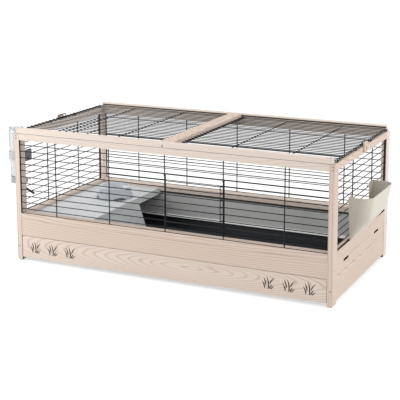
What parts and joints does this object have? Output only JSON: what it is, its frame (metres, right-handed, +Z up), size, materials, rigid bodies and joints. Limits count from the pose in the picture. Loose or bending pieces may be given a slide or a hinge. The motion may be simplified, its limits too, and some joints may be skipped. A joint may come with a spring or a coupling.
{
  "type": "small animal cage",
  "caption": "Wooden pet cage with wire sides, fold-up wire roof lids, a front wire door, a drawer with litter tray, corner hutch, bowl, water bottle and hay feeder.",
  "frame": {"origin": "on the floor, under the middle of the whole outline, with the bottle and the feeder included", "axes": "+X along the length towards the hay feeder, +Y towards the back, +Z up; the drawer and the door are at -Y"},
  "size_m": [1.3884, 0.645, 0.51],
  "materials": {
    "pine": "planed pine, whitewashed, matt",
    "black_wire": "black powder coat, satin",
    "liner_plastic": "mid grey sheet, satin",
    "tray_plastic": "near-black moulded, satin gloss",
    "hutch_plastic": "light grey moulded, satin",
    "bowl_plastic": "blue-grey, slightly translucent",
    "clear_plastic": "clear, glossy",
    "clip_plastic": "blue-grey moulded",
    "steel": "bright drawn steel",
    "feeder_plastic": "beige grey moulded, satin"
  },
  "bodies": {
    "cage": {"post_front_left": "pine", "post_front_right": "pine", "post_back_left": "pine", "post_back_right": "pine", "top_rail_front": "pine", "top_rail_back": "pine", "top_rail_left": "pine", "top_rail_right": "pine", "sill_front": "pine", "sill_back": "pine", "sill_left": "pine", "sill_right": "pine", "lath_front": "pine", "lath_back": "pine", "centre_beam": "pine", "beam_cleat_front": "pine", "beam_cleat_back": "pine", "upper_board_front": "pine", "upper_board_back": "pine", "lower_board_back": "pine", "side_slat_left": "pine", "lower_board_left": "pine", "side_slat_right": "pine", "lower_board_right": "pine", "tray_runner_left": "pine", "tray_runner_right": "pine", "front_grid": "black_wire", "back_grid": "black_wire", "left_grid": "black_wire", "right_grid": "black_wire", "liner_front": "liner_plastic", "liner_back": "liner_plastic", "liner_left": "liner_plastic", "liner_right": "liner_plastic", "hutch": "hutch_plastic", "bowl": "bowl_plastic", "bottle_body": "clear_plastic", "bottle_holder": "clear_plastic", "bottle_cap": "clip_plastic", "bottle_clip": "clip_plastic", "bottle_catch": "clip_plastic", "bottle_tube": "steel", "button_screw_left": "steel", "button_screw_right": "steel", "hay_feeder": "feeder_plastic"},
    "lid_left": {"roof_lid_left": "black_wire"},
    "lid_right": {"roof_lid_right": "black_wire"},
    "button_left": {"turn_button_left": "pine"},
    "button_right": {"turn_button_right": "pine"},
    "door": {"front_door": "black_wire"},
    "drawer": {"drawer_front": "pine", "drawer_tray": "tray_plastic"}
  },
  "joints": [
    {"name": "roof_left", "type": "hinge", "parent": "cage", "child": "lid_left", "pos_m": [-0.04376, 0, 0.4957], "axis": [0, 1, 0], "range_deg": [0, 90]},
    {"name": "roof_right", "type": "hinge", "parent": "cage", "child": "lid_right", "pos_m": [0.02424, 0, 0.4957], "axis": [0, -1, 0], "range_deg": [0, 90]},
    {"name": "turn_left", "type": "hinge", "parent": "cage", "child": "button_left", "pos_m": [-0.63806, 0, 0.484], "axis": [-1, 0, 0], "range_deg": [0, 90]},
    {"name": "turn_right", "type": "hinge", "parent": "cage", "child": "button_right", "pos_m": [0.61854, 0, 0.484], "axis": [1, 0, 0], "range_deg": [0, 90]},
    {"name": "front_door", "type": "hinge", "parent": "cage", "child": "door", "pos_m": [-0.00976, -0.317, 0.3], "axis": [0, 0, -1], "range_deg": [0, 115]},
    {"name": "drawer", "type": "slide", "parent": "cage", "child": "drawer", "axis": [0, -1, 0], "range_m": [0, 0.45]}
  ]
}
